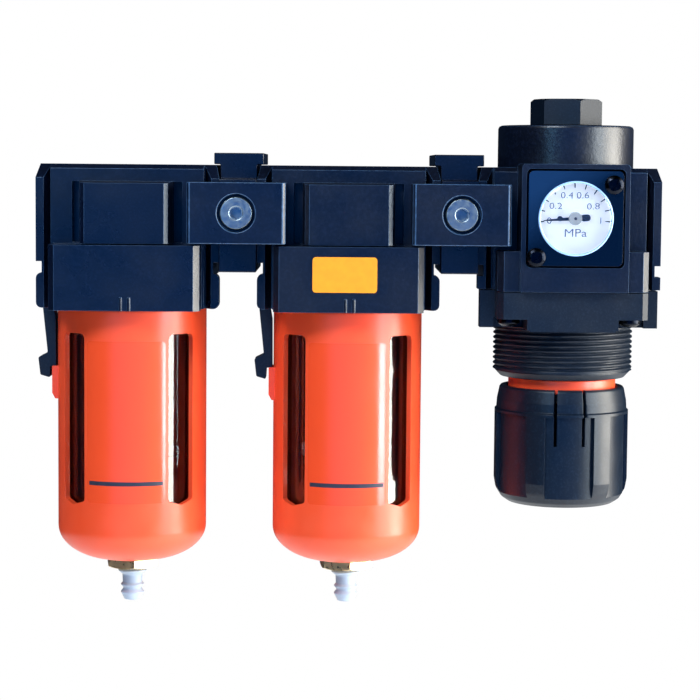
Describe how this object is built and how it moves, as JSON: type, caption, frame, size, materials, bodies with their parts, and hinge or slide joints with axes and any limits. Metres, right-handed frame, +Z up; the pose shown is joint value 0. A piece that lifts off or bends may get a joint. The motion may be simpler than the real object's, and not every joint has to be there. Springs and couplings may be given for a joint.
{
  "type": "air preparation unit",
  "caption": "Modular compressed-air filter, mist filter and regulator with clear bowls in orange guards, a square gauge and a pull-out knob.",
  "frame": {"origin": "centre of the inlet port's face, on the common axis of the ports", "axes": "+X along the air flow from inlet to outlet, -Y towards the gauge and the front of the unit, +Z up"},
  "size_m": [0.1834, 0.0635, 0.1502],
  "materials": {
    "black_casting": "black paint over a die casting, fine even texture, satin",
    "black_plastic": "moulded black engineering plastic, fine grain",
    "gloss_black": "polished black plastic",
    "orange_guard": "smooth orange-red moulded plastic, semi gloss",
    "clear_plastic": "clear moulded polycarbonate",
    "white_nylon": "natural white nylon",
    "white_filter_media": "porous white filter media",
    "white_dial": "white printed dial",
    "orange_plate": "blank yellow-orange foil label with a thin dark border",
    "zinc_steel": "zinc plated, dull",
    "black_steel": "black oxide steel",
    "brass": "machined brass",
    "rubber": "nitrile rubber"
  },
  "bodies": {
    "root": {"filter_body": "black_casting", "mist_body": "black_casting", "filter_deflector": "black_plastic", "filter_baffle": "black_plastic", "mist_element_holder": "black_plastic", "filter_element": "white_filter_media", "mist_element": "white_filter_media", "rating_plate": "orange_plate", "spacer_1": "black_casting", "spacer_1_front_clamp": "black_casting", "spacer_1_rear_clamp": "black_casting", "spacer_1_front_screw": "zinc_steel", "spacer_1_rear_screw": "zinc_steel", "spacer_1_inlet_seal": "rubber", "spacer_1_outlet_seal": "rubber", "spacer_2": "black_casting", "spacer_2_front_clamp": "black_casting", "spacer_2_rear_clamp": "black_casting", "spacer_2_front_screw": "zinc_steel", "spacer_2_rear_screw": "zinc_steel", "spacer_2_inlet_seal": "rubber", "spacer_2_outlet_seal": "rubber", "regulator_body": "black_casting", "valve_plug": "black_plastic", "valve_plug_seal": "rubber", "diaphragm": "rubber", "bonnet": "black_plastic", "bonnet_screw_1": "black_steel", "bonnet_screw_2": "black_steel", "bonnet_screw_3": "black_steel", "bonnet_screw_4": "black_steel", "lock_ring": "orange_guard", "gauge_case": "black_plastic", "bourdon_tube": "brass", "gauge_dial": "white_dial", "gauge_cover": "gloss_black", "gauge_lens": "clear_plastic", "gauge_screw_1": "black_steel", "gauge_screw_2": "black_steel"},
    "filter_seal_ring": {"filter_bowl_seal": "rubber"},
    "filter_bowl_set": {"filter_bowl": "clear_plastic", "filter_bowl_guard": "orange_guard", "filter_drain_nut": "brass"},
    "filter_lever": {"filter_lock_lever": "black_plastic"},
    "filter_drain": {"filter_drain_cock": "white_nylon"},
    "mist_seal_ring": {"mist_bowl_seal": "rubber"},
    "mist_bowl_set": {"mist_bowl": "clear_plastic", "mist_bowl_guard": "orange_guard", "mist_drain_nut": "brass"},
    "mist_lever": {"mist_lock_lever": "black_plastic"},
    "mist_drain": {"mist_drain_cock": "white_nylon"},
    "valve": {"valve": "brass", "valve_spring": "zinc_steel"},
    "diaphragm_plate": {"diaphragm_plate": "zinc_steel"},
    "spring_seat": {"spring_seat": "zinc_steel", "pressure_spring": "zinc_steel"},
    "adjusting_screw": {"adjusting_screw": "zinc_steel"},
    "knob": {"knob": "black_plastic"},
    "gauge_pointer": {"gauge_pointer": "black_steel"}
  },
  "joints": [
    {"name": "filter_bowl_drop", "type": "slide", "parent": "root", "child": "filter_seal_ring", "axis": [0, 0, -1], "range_m": [0, 0.075]},
    {"name": "filter_bowl_turn", "type": "hinge", "parent": "filter_seal_ring", "child": "filter_bowl_set", "pos_m": [0.0265, 0, -0.03], "axis": [0, 0, 1], "range_deg": [0, 45]},
    {"name": "filter_lever_slide", "type": "slide", "parent": "filter_bowl_set", "child": "filter_lever", "axis": [0, 0, -1], "range_m": [0, 0.0025], "stiffness_N_per_m": 300, "springref_m": -0.001},
    {"name": "filter_drain_turn", "type": "hinge", "parent": "filter_bowl_set", "child": "filter_drain", "pos_m": [0.0265, 0, -0.11], "axis": [0, 0, 1], "range_deg": [0, 90]},
    {"name": "mist_bowl_drop", "type": "slide", "parent": "root", "child": "mist_seal_ring", "axis": [0, 0, -1], "range_m": [0, 0.075]},
    {"name": "mist_bowl_turn", "type": "hinge", "parent": "mist_seal_ring", "child": "mist_bowl_set", "pos_m": [0.0905, 0, -0.03], "axis": [0, 0, 1], "range_deg": [0, 45]},
    {"name": "mist_lever_slide", "type": "slide", "parent": "mist_bowl_set", "child": "mist_lever", "axis": [0, 0, -1], "range_m": [0, 0.0025], "stiffness_N_per_m": 300, "springref_m": -0.001},
    {"name": "mist_drain_turn", "type": "hinge", "parent": "mist_bowl_set", "child": "mist_drain", "pos_m": [0.0905, 0, -0.11], "axis": [0, 0, 1], "range_deg": [0, 90]},
    {"name": "knob_turn", "type": "hinge", "parent": "root", "child": "adjusting_screw", "pos_m": [0.1545, 0, -0.06], "axis": [0, 0, 1], "range_deg": [0, 1710]},
    {"name": "knob_lock", "type": "slide", "parent": "adjusting_screw", "child": "knob", "axis": [0, 0, 1], "range_m": [0, 0.0026]},
    {"name": "spring_seat_lift", "type": "slide", "parent": "root", "child": "spring_seat", "axis": [0, 0, 1], "range_m": [0, 0.00594], "deforming": ["pressure_spring"]},
    {"name": "diaphragm_lift", "type": "slide", "parent": "root", "child": "diaphragm_plate", "axis": [0, 0, 1], "range_m": [0, 0.0015], "stiffness_N_per_m": 600, "springref_m": -0.001},
    {"name": "valve_lift", "type": "slide", "parent": "root", "child": "valve", "axis": [0, 0, 1], "range_m": [0, 0.0015], "stiffness_N_per_m": 300, "springref_m": -0.001, "deforming": ["valve_spring"]},
    {"name": "pointer_turn", "type": "hinge", "parent": "root", "child": "gauge_pointer", "pos_m": [0.1545, -0.0288, -0.0007], "axis": [0, 1, 0], "range_deg": [0, 188], "stiffness_Nm_per_rad": 0.00002, "springref_deg": -17.19}
  ],
  "couplings": [
    {"joint": "knob_turn", "follows": "spring_seat_lift", "rad_per_m": 5026.5},
    {"joint": "valve_lift", "follows": "diaphragm_lift", "ratio": 1}
  ]
}
